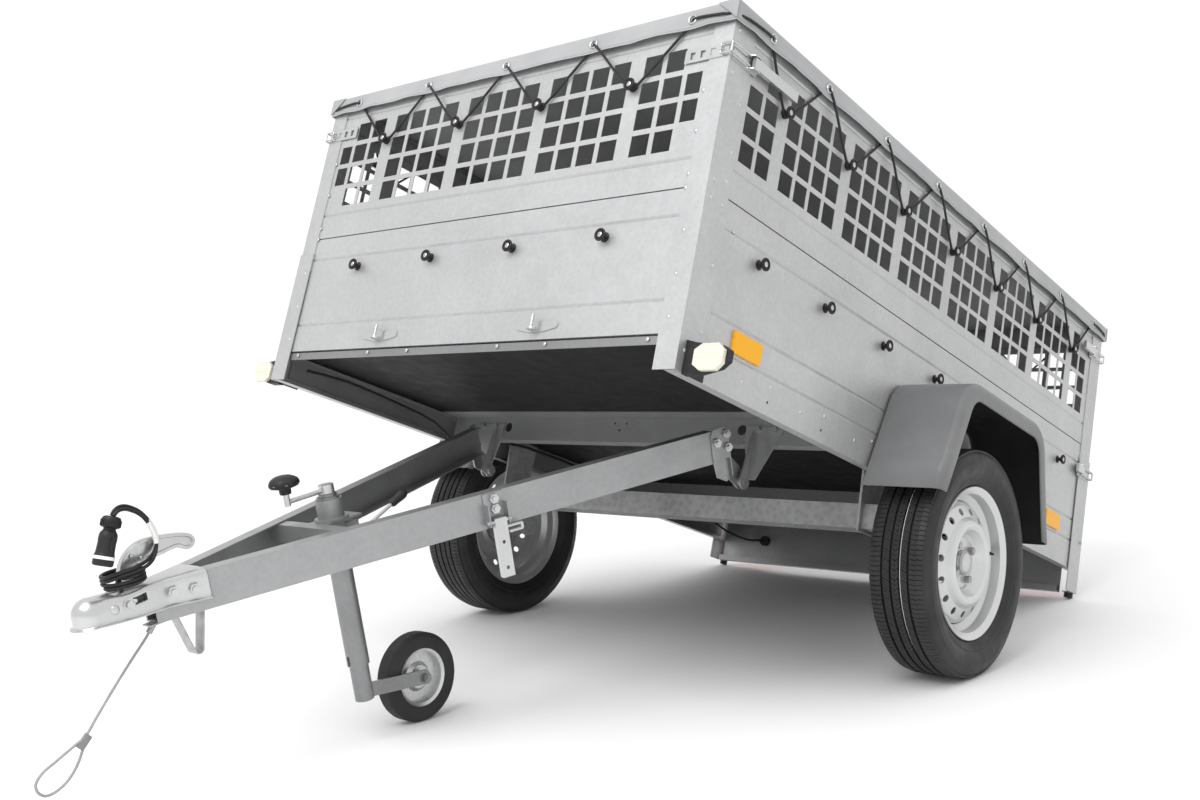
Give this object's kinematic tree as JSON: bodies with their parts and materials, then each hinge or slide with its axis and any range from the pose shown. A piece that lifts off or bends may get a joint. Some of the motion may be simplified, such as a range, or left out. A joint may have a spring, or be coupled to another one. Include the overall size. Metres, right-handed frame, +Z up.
{
  "type": "tipping utility trailer",
  "caption": "Light single-axle box trailer with mesh sides, a laced flat cover, a hinged tailgate and a tipping V drawbar with coupling and jockey wheel.",
  "frame": {"origin": "middle of the bounding box, on the ground, with the trailer tipped and standing on its wheels, rear feet and jockey wheel", "axes": "+Z up, +Y to the rear, so the coupling points along -Y; +X is the right-hand side when looking from the coupling to the tailgate"},
  "size_m": [1.724, 3.2345, 1.5244],
  "materials": {
    "zinc_sheet": "galvanised sheet, even satin grey",
    "zinc_shaded": "galvanised, satin",
    "hot_dip_zinc": "hot-dip galvanised, mottled",
    "zinc_plate": "galvanised plate, satin",
    "bright_zinc": "bright zinc plate",
    "silver_paint": "silver, semi-gloss",
    "tyre_rubber": "satin black",
    "wheel_rubber": "matt black",
    "grey_plastic": "fine-grained dark grey",
    "black_rubber": "matt black",
    "shock_cord": "braided black sheath",
    "wire_rope": "stranded zinc wire",
    "cover_sheet": "coated grey tarpaulin",
    "film_board": "black film-faced board",
    "red_lens": "moulded lens",
    "clear_lens": "moulded lens",
    "amber_lens": "prismatic reflector"
  },
  "bodies": {
    "chassis": {"floor_board": "film_board", "side_panels": "zinc_sheet", "front_panel": "zinc_sheet", "mesh_panels": "zinc_sheet", "lower_posts": "zinc_sheet", "upper_posts": "zinc_sheet", "underframe": "zinc_shaded", "hinge_brackets": "zinc_shaded", "axle_beam": "hot_dip_zinc", "mudguards": "grey_plastic", "light_panel": "zinc_shaded", "rear_lamps": "red_lens", "marker_arms": "black_rubber", "marker_lenses": "clear_lens", "side_reflectors": "amber_lens", "rear_feet": "black_rubber", "cover_knobs": "black_rubber", "cover": "cover_sheet", "lacing_cord": "shock_cord", "wiring_loom": "black_rubber", "tip_catches": "bright_zinc", "latch_plates": "bright_zinc"},
    "tailgate": {"tailgate_panel": "zinc_sheet"},
    "front_latch_left": {"front_latch_left": "bright_zinc"},
    "front_latch_right": {"front_latch_right": "bright_zinc"},
    "rear_latch_left": {"rear_latch_left": "bright_zinc"},
    "rear_latch_right": {"rear_latch_right": "bright_zinc"},
    "tailgate_latch_left": {"tailgate_latch_left": "bright_zinc"},
    "tailgate_latch_right": {"tailgate_latch_right": "bright_zinc"},
    "torsion_arm_left": {"torsion_arm_left": "hot_dip_zinc"},
    "torsion_arm_right": {"torsion_arm_right": "hot_dip_zinc"},
    "wheel_left": {"hub_left": "hot_dip_zinc", "rim_left": "silver_paint", "tyre_left": "tyre_rubber"},
    "wheel_right": {"hub_right": "hot_dip_zinc", "rim_right": "silver_paint", "tyre_right": "tyre_rubber"},
    "drawbar": {"drawbar_arms": "zinc_plate", "cross_bars": "zinc_plate", "hinge_plates": "zinc_plate", "drawbar_bolts": "bright_zinc", "coupling_shell": "bright_zinc", "tip_latch_brackets": "zinc_plate", "skid_strip": "hot_dip_zinc", "jockey_clamp": "zinc_plate", "plug": "black_rubber", "cable_coil": "black_rubber", "cable_lead": "black_rubber", "safety_rope": "wire_rope"},
    "coupling_handle": {"coupling_handle": "bright_zinc"},
    "coupling_jaw": {"coupling_jaw": "bright_zinc"},
    "tip_latch_left": {"tip_latch_left": "bright_zinc"},
    "tip_latch_right": {"tip_latch_right": "bright_zinc"},
    "clamp_lever": {"clamp_lever": "bright_zinc"},
    "jockey_tube": {"jockey_tube": "zinc_plate"},
    "jockey_crank": {"jockey_crank": "bright_zinc"},
    "jockey_nut": {"jockey_nut": "bright_zinc"},
    "jockey_leg": {"jockey_leg": "zinc_plate"},
    "jockey_wheel": {"jockey_rim": "silver_paint", "jockey_tyre": "wheel_rubber"}
  },
  "joints": [
    {"name": "drawbar_tip", "type": "hinge", "parent": "chassis", "child": "drawbar", "pos_m": [0, -0.13143, 0.49425], "axis": [1, 0, 0], "range_deg": [-28.6, 0]},
    {"name": "suspension_left", "type": "hinge", "parent": "chassis", "child": "torsion_arm_left", "pos_m": [-0.66, 0.14183, 0.38212], "axis": [1, 0, 0], "range_deg": [-8, 16], "stiffness_Nm_per_rad": 1800, "springref_deg": -3.15},
    {"name": "wheel_spin_left", "type": "hinge", "parent": "torsion_arm_left", "child": "wheel_left", "pos_m": [-0.762, 0.25307, 0.2735], "axis": [1, 0, 0], "continuous": true},
    {"name": "suspension_right", "type": "hinge", "parent": "chassis", "child": "torsion_arm_right", "pos_m": [0.66, 0.14183, 0.38212], "axis": [1, 0, 0], "range_deg": [-8, 16], "stiffness_Nm_per_rad": 1800, "springref_deg": -3.15},
    {"name": "wheel_spin_right", "type": "hinge", "parent": "torsion_arm_right", "child": "wheel_right", "pos_m": [0.762, 0.25307, 0.2735], "axis": [1, 0, 0], "continuous": true},
    {"name": "tailgate_hinge", "type": "hinge", "parent": "chassis", "child": "tailgate", "pos_m": [0, 1.32483, 0.16483], "axis": [-1, 0, 0], "range_deg": [0, 90]},
    {"name": "front_latch_turn_left", "type": "hinge", "parent": "chassis", "child": "front_latch_left", "pos_m": [-0.6715, -0.37308, 1.39464], "axis": [0, 0.3322, 0.9432], "range_deg": [0, 150]},
    {"name": "rear_latch_turn_left", "type": "hinge", "parent": "chassis", "child": "rear_latch_left", "pos_m": [-0.6715, 1.46054, 0.74892], "axis": [0, -0.3322, -0.9432], "range_deg": [0, 150]},
    {"name": "tailgate_latch_turn_left", "type": "hinge", "parent": "chassis", "child": "tailgate_latch_left", "pos_m": [-0.6741, 1.33366, 0.38861], "axis": [0, -0.3322, -0.9432], "range_deg": [0, 150]},
    {"name": "front_latch_turn_right", "type": "hinge", "parent": "chassis", "child": "front_latch_right", "pos_m": [0.6715, -0.37308, 1.39464], "axis": [0, -0.3322, -0.9432], "range_deg": [0, 150]},
    {"name": "rear_latch_turn_right", "type": "hinge", "parent": "chassis", "child": "rear_latch_right", "pos_m": [0.6715, 1.46054, 0.74892], "axis": [0, 0.3322, 0.9432], "range_deg": [0, 150]},
    {"name": "tailgate_latch_turn_right", "type": "hinge", "parent": "chassis", "child": "tailgate_latch_right", "pos_m": [0.6741, 1.33366, 0.38861], "axis": [0, 0.3322, 0.9432], "range_deg": [0, 150]},
    {"name": "coupling_handle_lift", "type": "hinge", "parent": "drawbar", "child": "coupling_handle", "pos_m": [0, -1.47026, 0.39796], "axis": [1, 0, 0], "range_deg": [0, 24], "stiffness_Nm_per_rad": 2, "springref_deg": -11.46},
    {"name": "coupling_jaw_turn", "type": "hinge", "parent": "drawbar", "child": "coupling_jaw", "pos_m": [0, -1.49465, 0.38591], "axis": [1, 0, 0], "range_deg": [0, 12]},
    {"name": "tip_latch_turn_left", "type": "hinge", "parent": "drawbar", "child": "tip_latch_left", "pos_m": [-0.24935, -0.75687, 0.46691], "axis": [-0.3007, 0.9415, 0.1525], "range_deg": [-3, 120]},
    {"name": "tip_latch_turn_right", "type": "hinge", "parent": "drawbar", "child": "tip_latch_right", "pos_m": [0.24935, -0.75687, 0.46691], "axis": [-0.3007, -0.9415, -0.1525], "range_deg": [-3, 120]},
    {"name": "clamp_lever_turn", "type": "hinge", "parent": "drawbar", "child": "clamp_lever", "pos_m": [0, -0.95375, 0.46136], "axis": [1, 0, 0], "range_deg": [0, 80]},
    {"name": "jockey_tube_slide", "type": "slide", "parent": "drawbar", "child": "jockey_tube", "axis": [0, -0.1599, 0.9871], "range_m": [0, 0.17]},
    {"name": "jockey_crank_turn", "type": "hinge", "parent": "jockey_tube", "child": "jockey_crank", "pos_m": [0, -0.99297, 0.44082], "axis": [0, -0.1599, 0.9871], "range_deg": [-7200, 2880]},
    {"name": "jockey_nut_travel", "type": "slide", "parent": "jockey_tube", "child": "jockey_nut", "axis": [0, -0.1599, 0.9871], "range_m": [-0.1, 0.04]},
    {"name": "jockey_swivel", "type": "hinge", "parent": "jockey_nut", "child": "jockey_leg", "pos_m": [0, -0.99297, 0.44082], "axis": [0, -0.1599, 0.9871], "continuous": true},
    {"name": "jockey_wheel_spin", "type": "hinge", "parent": "jockey_leg", "child": "jockey_wheel", "pos_m": [-0.034, -0.76151, 0.1], "axis": [1, 0, 0], "continuous": true}
  ],
  "couplings": [
    {"joint": "coupling_jaw_turn", "follows": "coupling_handle_lift", "ratio": 0.5},
    {"joint": "jockey_nut_travel", "follows": "jockey_crank_turn", "m_per_rad": 0.00079577}
  ]
}
